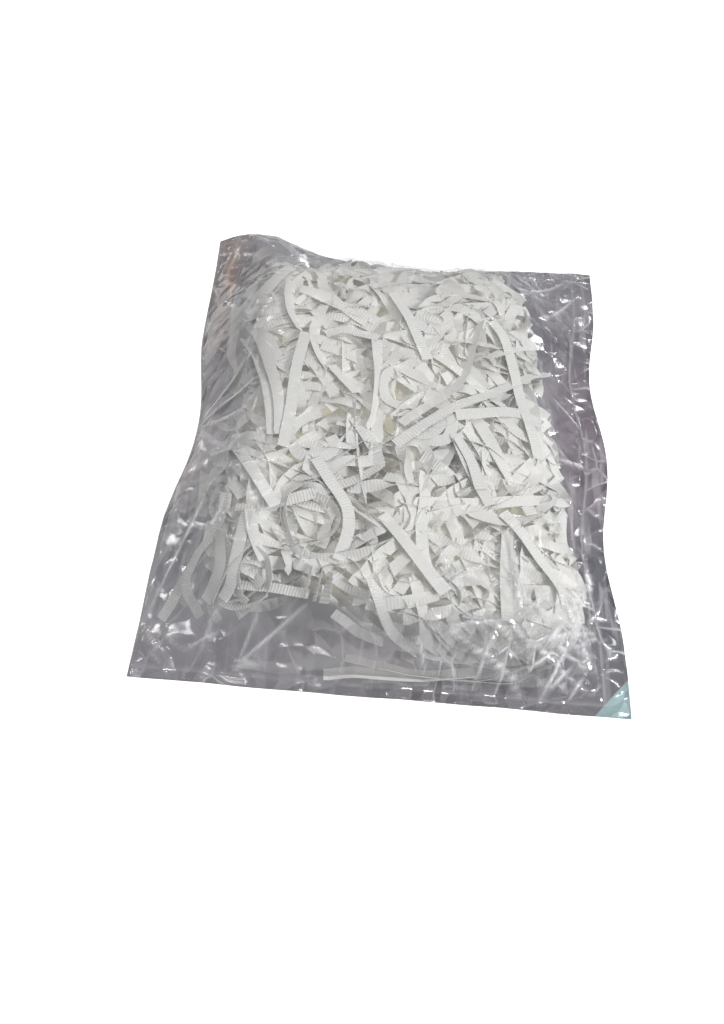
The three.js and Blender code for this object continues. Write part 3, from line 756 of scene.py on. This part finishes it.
# The bag is one sheet of clear film, folded along its left side and welded along the other three, with
# a fin outside the side weld and pin pricks inside it, which let the air out. Drawn over the paper, it
# creases from the heap out to the rim, and it is most crumpled at the lower right.
BAG_WIDTH = 0.2
BAG_LENGTH = 0.25
FILM_THICKNESS = 0.00008
SIDE_SEAL = 0.01
FOOT_SEAL = 0.005
HEAD_SEAL = 0.004
FOLD_PINCH, FOLD_PINCH_REACH = 0.007, 0.062
SIDE_PINCH, SIDE_PINCH_REACH = 0.005, 0.048
HEAD_PINCH, HEAD_PINCH_REACH = 0.008, 0.085
EAR_CUT, EAR_CUT_FROM, EAR_CUT_OVER = 0.006, 0.08, 0.02
FILM_COLUMNS = 176
FILM_ROWS = 216
LOWER_COLUMNS = 60
LOWER_ROWS = 75
WELD_GAP = 0.0003
OPEN_GAP = 0.0012
WELD_BLEND = 0.003
WELDED_RIDGE = 0.4
VENT_COUNT = 7
VENT_PITCH = 0.028
VENT_INSET = 0.002


def drawn_in(depth, distance, reach):
    """How far an edge is drawn in, at some distance from the middle of a soft notch."""
    return np.where(np.abs(distance) < reach, depth * np.cos(np.pi * distance / reach / 2) ** 2, 0)


def fold_edge(y):
    return drawn_in(FOLD_PINCH, y, FOLD_PINCH_REACH) - BAG_WIDTH / 2


def side_edge(y):
    return BAG_WIDTH / 2 - drawn_in(SIDE_PINCH, np.abs(y) - SIDE_PINCH_REACH, SIDE_PINCH_REACH)


def head_edge(x):
    ear_cut = EAR_CUT * fading(-x, EAR_CUT_FROM, EAR_CUT_OVER)
    return BAG_LENGTH / 2 - drawn_in(HEAD_PINCH, x, HEAD_PINCH_REACH) - ear_cut


LAST_CELL = 1.001


def between(heights, points):
    """Heights read from the grid between its points."""
    column = np.clip((points[:, 0] - grid_x[0]) / CELL, 0, len(grid_x) - LAST_CELL)
    row = np.clip((points[:, 1] - grid_y[0]) / CELL, 0, len(grid_y) - LAST_CELL)
    i, j = column.astype(int), row.astype(int)
    u, v = column - i, row - j
    lower = heights[j, i] * (1 - u) + heights[j, i + 1] * u
    upper = heights[j + 1, i] * (1 - u) + heights[j + 1, i + 1] * u
    return lower * (1 - v) + upper * v


def weld_distance(points):
    """How far points in plan lie inside the fold and the three welds."""
    x, y = points[:, 0], points[:, 1]
    return np.min([
        x - fold_edge(y),
        side_edge(y) - SIDE_SEAL - x,
        y + BAG_LENGTH / 2 - FOOT_SEAL,
        head_edge(x) - HEAD_SEAL - y,
    ], axis=0)


# Creases of the film, each from one place to another in plan, with the width and height of its ridge.
CREASES = [
    ((-0.078, -0.052), (-0.098, -0.1), 0.0016, 0.0012),
    ((-0.032, -0.1), (-0.06, -0.12), 0.0028, 0.0026),
    ((-0.05, -0.1), (-0.058, -0.12), 0.0012, 0.0011),
    ((-0.085, -0.105), (-0.094, -0.118), 0.0014, 0.001),
    ((0.02, -0.105), (0.06, -0.121), 0.0014, 0.0014),
    ((0.035, -0.1), (0.085, -0.117), 0.0013, 0.0015),
    ((0.05, -0.11), (0.088, -0.092), 0.0013, 0.0013),
    ((0.066, -0.088), (0.086, -0.108), 0.0013, 0.0014),
    ((0.02, -0.106), (0.05, -0.1), 0.001, 0.0016),
    ((0.05, -0.1), (0.062, -0.086), 0.001, 0.0016),
    ((0.062, -0.124), (0.074, -0.098), 0.001, 0.0016),
    ((0.015, -0.07), (0.032, -0.1), 0.0011, 0.0016),
    ((0.045, -0.062), (0.052, -0.098), 0.0011, 0.0016),
    ((0.08, -0.07), (0.09, -0.1), 0.0012, 0.001),
    ((0.07, -0.02), (0.094, -0.005), 0.0014, 0.0012),
    ((0.072, 0.02), (0.096, 0.01), 0.0014, 0.0012),
    ((0.068, 0.07), (0.093, 0.11), 0.0013, 0.0013),
    ((0.055, 0.09), (0.086, 0.116), 0.0013, 0.0012),
    ((-0.07, 0.105), (-0.085, 0.122), 0.0014, 0.0014),
    ((-0.08, 0.07), (-0.096, 0.095), 0.0014, 0.0012),
    ((-0.066, 0.02), (-0.092, -0.002), 0.0012, 0.0014),
    ((-0.06, 0.004), (-0.092, -0.003), 0.0012, 0.0014),
    ((-0.066, -0.014), (-0.092, -0.004), 0.0012, 0.0013),
    ((-0.074, -0.03), (-0.092, -0.005), 0.0012, 0.0013),
]
RIDGE_START, RIDGE_SPAN, RIDGE_TAPER = 0.05, 0.9, 0.7
# The crest mask below marks a painted highlight along each crease: how wide it is, the ridge height at
# which it is full, and how fast it fades on lower ridges.
CREST_WIDTH = 0.0007
FULL_CREST = 0.0012
CREST_POWER = 3

# Random ones: how many, and the least and the most of their lengths, widths and heights. The crumpled
# places have their own, as ranges across and along the bag with a number of creases.
RANDOM_CREASES = 110
CREASE_ACROSS, CREASE_ALONG = (-0.095, 0.09), (-0.12, 0.115)
CREASE_DISTANCES = (0.002, 0.045)
CREASE_TURN = 0.6
CREASE_LENGTHS, CREASE_WIDTHS, CREASE_RISES = (0.008, 0.03), (0.0008, 0.002), (0.0003, 0.0009)
CRUMPLE_LENGTHS, CRUMPLE_WIDTHS, CRUMPLE_RISES = (0.006, 0.02), (0.0008, 0.0016), (0.0005, 0.0013)
PUCKER_LENGTHS, PUCKER_WIDTHS, PUCKER_RISES = (0.004, 0.012), (0.0008, 0.0014), (0.0003, 0.0008)
PUCKER_SLANT = 0.002
CRUMPLED_PLACES = [
    ((0.015, 0.088), (-0.121, -0.085), 60),
    ((-0.099, -0.083), (0.035, 0.115), 22),
    ((-0.098, -0.06), (-0.12, -0.105), 16),
    ((0.06, 0.088), (0.09, 0.12), 12),
]
PUCKERS = 60


def random_creases():
    """Crumples, puckers at the side weld, and creases from the heap's slope out towards the rim."""
    found = []
    for x_range, y_range, count in CRUMPLED_PLACES:
        for _ in range(count):
            start = np.array([random.uniform(*x_range), random.uniform(*y_range)])
            angle = random.uniform(0, math.pi)
            way = np.array([math.cos(angle), math.sin(angle)])
            end = start + random.uniform(*CRUMPLE_LENGTHS) * way
            found.append((start, end, random.uniform(*CRUMPLE_WIDTHS), random.uniform(*CRUMPLE_RISES)))
    for _ in range(PUCKERS):
        y = random.uniform(*CREASE_ALONG)
        weld = float(side_edge(y)) - SIDE_SEAL
        end = (weld - random.uniform(*PUCKER_LENGTHS), y + random.normal(0, PUCKER_SLANT))
        found.append(((weld, y), end, random.uniform(*PUCKER_WIDTHS), random.uniform(*PUCKER_RISES)))
    count = len(found) + RANDOM_CREASES
    nearest, farthest = CREASE_DISTANCES
    while len(found) < count:
        start = np.array([random.uniform(*CREASE_ACROSS), random.uniform(*CREASE_ALONG)])
        if not nearest < weld_distance(start[None])[0] < farthest:
            continue
        away = start / np.array([BAG_WIDTH, BAG_LENGTH])
        angle = math.atan2(away[1], away[0]) + random.normal(0, CREASE_TURN)
        way = np.array([math.cos(angle), math.sin(angle)])
        end = start + random.uniform(*CREASE_LENGTHS) * way
        found.append((start, end, random.uniform(*CREASE_WIDTHS), random.uniform(*CREASE_RISES)))
    return found


def creased(points, creases):
    """The height that the creases add at points in plan, and how near each point is to a crest."""
    height = np.zeros(len(points))
    crest = np.zeros(len(points))
    for start, end, width, rise in creases:
        start, end = np.array(start), np.array(end)
        run = end - start
        share = np.clip((points - start) @ run / (run @ run), 0, 1)
        off = np.linalg.norm(points - start - share[:, None] * run, axis=1)
        taper = np.sin(np.pi * (RIDGE_START + RIDGE_SPAN * share)) ** RIDGE_TAPER
        height += rise * taper * np.exp(-off / width)
        sharp = min(1, rise / FULL_CREST) ** CREST_POWER
        crest = np.maximum(crest, taper * around(off, 0, CREST_WIDTH) * sharp)
    return height, crest


# Where the film looks different. A pair named after a side says how far from the bag's middle a look
# sets in towards that side, and over what distance. The others are the middle of a place and its reach.
# The lower wall turns clear by how much paper is near.
COVERED, COVERED_CLEAR = (0.65, 0.25), 0.7
LEFT_HAZE, LEFT_HAZE_DEPTH = (0.05, 0.02), 0.7
LOW_LEFT_FOOT, LOW_LEFT_CLEAR = (0.05, 0.03), 0.3
HEAD_HAZE, HEAD_HAZE_DEPTH = (0.06, 0.04), 0.6
FOOT_HAZE, FOOT_HAZE_DEPTH = (0.095, 0.015), 0.8
CRUMPLED_ACROSS, CRUMPLED_ALONG = (0.055, 0.035), (-0.1, 0.025)
WELD_CRUMPLE, WELD_CRUMPLE_REACH = 0.5, 0.012
SEAL_LINE = (0, 0.0007)
# The warm marks are a painted warm reflection along the fold, towards the head and in the middle.
WARM_GLINT_FOLD, WARM_GLINT_HEAD, WARM_GLINT_MIDDLE = (-0.091, 0.007), (0.03, 0.01), (-0.02, 0.016)
PLUM_RIGHT, PLUM_MIDDLE = (0.072, 0.01), (0.01, 0.06)
PALE_FOOT, PALE_LEFT = (0.05, 0.04), (-0.02, 0.03)
PALE_EAR_ACROSS, PALE_EAR_ALONG = (-0.07, 0.03), (0.115, 0.012)
SLATE_RIGHT, SLATE_FOOT = (0.086, 0.006), (0.03, 0.03)


def looks_of(x, y, weld):
    """How hazy, crumpled, sealed and toned the film is at points in plan, and where it has a painted warm
    reflection.
    """
    left = fading(-x, *LEFT_HAZE) * (LEFT_HAZE_DEPTH - LOW_LEFT_CLEAR * fading(-y, *LOW_LEFT_FOOT))
    head = fading(y, *HEAD_HAZE) * HEAD_HAZE_DEPTH
    foot = fading(-y, *FOOT_HAZE) * FOOT_HAZE_DEPTH
    crumple = around(x, *CRUMPLED_ACROSS) * around(y, *CRUMPLED_ALONG)
    pale_foot = fading(-y, *PALE_FOOT) * fading(-x, *PALE_LEFT)
    pale_ear = around(x, *PALE_EAR_ACROSS) * around(y, *PALE_EAR_ALONG)
    warm_glint = np.maximum(fading(y, *WARM_GLINT_HEAD), around(y, *WARM_GLINT_MIDDLE))
    return {
        "haze": np.max([left, head, foot], axis=0),
        "crumple": crumple + np.exp(-weld / WELD_CRUMPLE_REACH) * WELD_CRUMPLE,
        "seal": around(weld, *SEAL_LINE),
        "warm_glint": around(x, *WARM_GLINT_FOLD) * warm_glint,
        "plum": fading(x, *PLUM_RIGHT) * around(y, *PLUM_MIDDLE),
        "lighter": np.maximum(pale_foot, pale_ear),
        "slate": fading(x, *SLATE_RIGHT) * fading(-y, *SLATE_FOOT),
    }


def film_panel(name, upper):
    """One wall of the bag, as a grid over the bag's outline. The upper wall lies over the paper and has
    the creases, and the lower one lies on the table."""
    columns, rows = (FILM_COLUMNS, FILM_ROWS) if upper else (LOWER_COLUMNS, LOWER_ROWS)
    bpy.ops.mesh.primitive_grid_add(x_subdivisions=columns, y_subdivisions=rows, size=1)
    panel = bpy.context.object
    panel.name = name
    flat = np.array([vertex.co for vertex in panel.data.vertices])
    across, along = flat[:, 0] + 0.5, flat[:, 1] + 0.5
    y = along * (head_edge(flat[:, 0] * BAG_WIDTH) + BAG_LENGTH / 2) - BAG_LENGTH / 2
    x = fold_edge(y) + across * (side_edge(y) - fold_edge(y))
    plan = np.stack([x, y], axis=1)
    weld = weld_distance(plan)
    base = between(floor_film, plan)
    if upper:
        ridge, crest = creased(plan, creases)
        welded = np.clip(1 - weld / WELD_BLEND, 0, 1)
        closed = base + WELD_GAP
        opened = np.maximum(between(roof, plan), closed + OPEN_GAP * (1 - welded)) + ridge
        height = closed + (opened - closed) * (1 - welded) + ridge * welded * WELDED_RIDGE
        under = np.zeros(len(x))
    else:
        height = base
        crest = np.zeros(len(x))
        under = 1 - COVERED_CLEAR * fading(between(paper_near, plan), *COVERED)
    panel.data.vertices.foreach_set("co", np.stack([x, y, height], axis=1).ravel())
    for label, values in {"crest": crest, "under": under, **looks_of(x, y, weld)}.items():
        panel.data.attributes.new(label, "FLOAT", "POINT").data.foreach_set("value", values)
    if not upper:
        bpy.ops.object.mode_set(mode="EDIT")
        bpy.ops.mesh.select_all(action="SELECT")
        bpy.ops.mesh.flip_normals()
        bpy.ops.object.mode_set(mode="OBJECT")
    bpy.ops.object.select_all(action="DESELECT")
    return panel


# The tones of the film and of what is seen through it, each with its share where it has one.
SMOKE_TONES = (0.07, 0.075, 0.095), (0.37, 0.35, 0.385)
VEIL_TONES = (0.8, 0.81, 0.84), (0.27, 0.255, 0.28)
PLUM_TONE, PLUM_SHARE = (0.2, 0.13, 0.18), 0.55
SLATE_TONE, SLATE_SHARE = (0.09, 0.1, 0.13), 0.6
LIGHTER_TONE, LIGHTER_SHARE = (0.43, 0.42, 0.45), 0.7
STREAK_TONE, STREAK_SHARE = (0.62, 0.6, 0.65), 0.4
CORNER_TONE = (0.5, 0.66, 0.68)
# The crest tone is a painted highlight along the creases and in the crumples, and also the pale line of
# the welds.
HIGHLIGHT_AND_WELD_TONE = (0.97, 0.97, 1)
# The peach tone is a painted warm reflection near the fold.
PEACH_GLINT_TONE = (0.78, 0.58, 0.47)
PANE_SHARE, TINT_SHARE = 0.5, 0.5
# The shares of the weld line and of the painted crumple glints in that highlight.
SEAL_SHARE, CRUMPLE_GLINT_SHARE = 0.4, 0.9

# Its patterns: how fine and how rough each one is, and from what level and how steeply it shows.
PATTERN_ROUGHNESS, WRINKLE_ROUGHNESS = 0.6, 0.55
CLOUD_SCALE, TINT_SCALE, WRINKLE_SCALE = 38, 17, 70
TINT_LEVEL, TINT_STEEPNESS = 0.36, 3.6
WARP_SCALE, WARP_REACH = 55, (0.012, 0.012, 0.012)
STREAK_SCALE, STREAK_TURN, STREAK_STRETCH = 220, -0.45, 0.14
STREAK_LEVEL, STREAK_STEEPNESS = 0.56, 9
FACET_SCALE, PANE_SCALE = 75, 46
# The nets are painted glints along the edges of the facets in the crumpled places: from what level of the
# cloud they show, how steeply, and how fine their lines are.
CRUMPLE_GLINT_LEVEL, CRUMPLE_GLINT_STEEPNESS, CRUMPLE_GLINT_FINENESS = 0.47, 9, 12
CORNER_ACROSS, CORNER_ALONG, CORNER_FROM, CORNER_STEEPNESS = 0.75, 0.662, 0.1465, 2500
# The peach marks are a painted warm reflection, broken up by the streaks and panes.
PEACH_GLINT_STREAKS, PEACH_GLINT_LEAST = 0.8, 0.2

# How much each of them hides, and the shape and shine of the film's small wrinkles.
# The crest share hides the paper under the painted highlights and the weld line, and the peach share
# under the painted warm reflection.
CLEAREST, CLOUD_HIDES, HAZE_HIDES, HIGHLIGHT_AND_WELD_HIDES, PEACH_GLINT_HIDES = 0.01, 0.04, 0.27, 0.5, 0.5
SMOKE_HIDES = 0.95
# The lower wall glows a little in its own tone: painted light that lifts its shade.
SMOKE_PAINTED_GLOW = 0.15
SMOOTHEST, CLOUD_ROUGHNESS = 0.08, 0.1
FILM_IOR, FILM_GLOSS = 1.8, 0.8
FACET_HEIGHT, FACET_EVERYWHERE, WRINKLE_HEIGHT = 2.6, 0.5, 0.4
BUMP_STRENGTH, BUMP_DISTANCE = 0.8, 0.0014


def beyond(value, level, steepness):
    """0 up to a level of some number in a material, and then up to 1."""
    return ((value - level) * steepness).highest(0).lowest(1)


def clear_film():
    """Clear polypropylene film. Where it lies on the table it carries the dim tone of what is seen
    through it, smoky with plum, slate and paler places, and a painted glow lifts its shade. Over the
    paper it is all but clear, with a haze at the left, the head and the foot. It has painted highlights
    along its creases and in its crumpled places, a pale line along the welds, and a painted warm
    reflection along the fold."""
    finish = Finish("clear_film")
    under = finish.attribute("under")
    haze = finish.attribute("haze")
    crumple = finish.attribute("crumple")
    place = finish.node("ShaderNodeSeparateXYZ", None, {0: finish.place()}).outputs
    slant = Number(finish, place[0]) * CORNER_ACROSS - Number(finish, place[1]) * CORNER_ALONG
    corner = beyond(slant, CORNER_FROM, CORNER_STEEPNESS)
    cloud = finish.noise(CLOUD_SCALE, detail=3, roughness=PATTERN_ROUGHNESS, across="2D")
    tint = finish.noise(TINT_SCALE, detail=3, roughness=PATTERN_ROUGHNESS, across="2D")
    tint = ((tint - TINT_LEVEL) * TINT_STEEPNESS).highest(0)
    ridged = {"kind": "RIDGED_MULTIFRACTAL", "across": "2D"}
    wrinkle = finish.noise(WRINKLE_SCALE, detail=2, roughness=WRINKLE_ROUGHNESS, **ridged)
    warp = finish.node("ShaderNodeTexNoise", {"noise_dimensions": "2D"}, {
        "Vector": finish.place(), "Scale": WARP_SCALE, "Detail": 1,
    })
    warped = finish.node("ShaderNodeVectorMath", {"operation": "MULTIPLY_ADD"}, {
        0: warp.outputs["Color"], 1: WARP_REACH, 2: finish.place(),
    }).outputs["Vector"]
    slanting = finish.node("ShaderNodeMapping", None, {
        "Vector": finish.place(), "Rotation": (0, 0, STREAK_TURN), "Scale": (1, STREAK_STRETCH, 1),
    }).outputs["Vector"]
    streaks = finish.noise(STREAK_SCALE, detail=2, place=slanting, across="2D")
    streaks = beyond(streaks, STREAK_LEVEL, STREAK_STEEPNESS)
    facets = finish.number("ShaderNodeTexVoronoi", "Distance", {
        "feature": "DISTANCE_TO_EDGE", "voronoi_dimensions": "2D",
    }, {"Vector": warped, "Scale": FACET_SCALE})
    panes = finish.number("ShaderNodeTexVoronoi", "Color", {"voronoi_dimensions": "2D"}, {
        "Vector": warped, "Scale": PANE_SCALE,
    })

    smoke = finish.mix(panes * PANE_SHARE + tint * TINT_SHARE, *SMOKE_TONES)
    smoke = finish.mix(finish.attribute("plum") * PLUM_SHARE, smoke, PLUM_TONE)
    smoke = finish.mix(finish.attribute("slate") * SLATE_SHARE, smoke, SLATE_TONE)
    smoke = finish.mix(finish.attribute("lighter") * LIGHTER_SHARE, smoke, LIGHTER_TONE)
    smoke = finish.mix(streaks * STREAK_SHARE, smoke, STREAK_TONE)
    smoke = finish.mix(corner, smoke, CORNER_TONE)
    veil = finish.mix(corner, finish.mix(haze, *VEIL_TONES), CORNER_TONE)
    # Painted glints: a net along the facet edges where the film is crumpled.
    crumple_glints = (1 - facets * CRUMPLE_GLINT_FINENESS).highest(0) * beyond(cloud, CRUMPLE_GLINT_LEVEL, CRUMPLE_GLINT_STEEPNESS) * crumple
    # Painted highlights along the crests and in the crumples, together with the pale weld line.
    highlight_and_weld = finish.attribute("crest").highest(finish.attribute("seal") * SEAL_SHARE)
    highlight_and_weld = highlight_and_weld.highest(crumple_glints * CRUMPLE_GLINT_SHARE).lowest(1)
    # Painted warm reflection along the fold, in streaks and panes.
    peach_glint = finish.attribute("warm_glint") * (streaks * PEACH_GLINT_STREAKS + panes - PEACH_GLINT_LEAST)
    peach_glint = peach_glint.highest(0).lowest(1) * (1 - under)
    colour = finish.mix(under, veil, smoke)
    colour = finish.mix(highlight_and_weld * (1 - under), colour, HIGHLIGHT_AND_WELD_TONE)
    colour = finish.mix(peach_glint, colour, PEACH_GLINT_TONE)
    hidden = CLEAREST + cloud * CLOUD_HIDES + haze * HAZE_HIDES
    hidden += highlight_and_weld * HIGHLIGHT_AND_WELD_HIDES + peach_glint * PEACH_GLINT_HIDES
    shader = finish.principled(
        Base_Color=colour,
        Roughness=SMOOTHEST + cloud * CLOUD_ROUGHNESS,
        IOR=FILM_IOR,
        Specular_IOR_Level=FILM_GLOSS,
        Alpha=under * SMOKE_HIDES + (1 - under) * hidden.lowest(1),
        Emission_Color=finish.mix(under, (0, 0, 0), smoke),
        Emission_Strength=SMOKE_PAINTED_GLOW,
        Normal=finish.bump(
            facets * (FACET_EVERYWHERE + crumple) * FACET_HEIGHT + wrinkle * WRINKLE_HEIGHT,
            BUMP_STRENGTH, BUMP_DISTANCE,
        ),
    )
    return finish.surface(shader)


# The two walls are bridged along their rims, and the pin pricks go through both. The lower wall is
# coarse, so its pricked faces are first cut about as small as those of the upper wall.
creases = CREASES + random_creases()
upper_wall = film_panel("film", True)
lower_wall = film_panel("lower_wall", False)
upper_wall.select_set(True)
lower_wall.select_set(True)
bpy.context.view_layer.objects.active = upper_wall
bpy.ops.object.join()
film = bpy.context.object
bpy.ops.object.mode_set(mode="EDIT")
bpy.ops.mesh.select_mode(type="EDGE")
bpy.ops.mesh.select_all(action="DESELECT")
shape = bmesh.from_edit_mesh(film.data)
for edge in shape.edges:
    edge.select = edge.is_boundary
bmesh.update_edit_mesh(film.data)
bpy.ops.mesh.bridge_edge_loops()

UP, DOWN = 1, -1
FLAT_ENOUGH = 0.05
LOWER_WALL_CUTS = 3


def select_vents(ways):
    """Selects the face at each vent, in the upper wall, the lower one or both."""
    bpy.ops.mesh.select_all(action="DESELECT")
    shape = bmesh.from_edit_mesh(film.data)
    for k in range(VENT_COUNT):
        y = (k - (VENT_COUNT - 1) / 2) * VENT_PITCH
        vent = Vector((float(side_edge(y)) - SIDE_SEAL - VENT_INSET, y))
        for way in ways:
            walls = [face for face in shape.faces if face.normal.z * way > FLAT_ENOUGH]
            min(walls, key=lambda face: (face.calc_center_median().xy - vent).length).select = True
    bmesh.update_edit_mesh(film.data)


bpy.ops.mesh.select_mode(type="FACE")
select_vents((DOWN,))
bpy.ops.mesh.subdivide(number_cuts=LOWER_WALL_CUTS)
select_vents((DOWN, UP))
bpy.ops.mesh.delete(type="FACE")
bpy.ops.object.mode_set(mode="OBJECT")

wall = film.modifiers.new("wall", "SOLIDIFY")
wall.thickness = FILM_THICKNESS
bpy.ops.object.modifier_apply(modifier="wall")
bpy.ops.object.shade_smooth()
film.data.materials.clear()
film.data.materials.append(clear_film())
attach(film, "root")
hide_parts("film_bag")
bpy.ops.object.select_all(action="DESELECT")
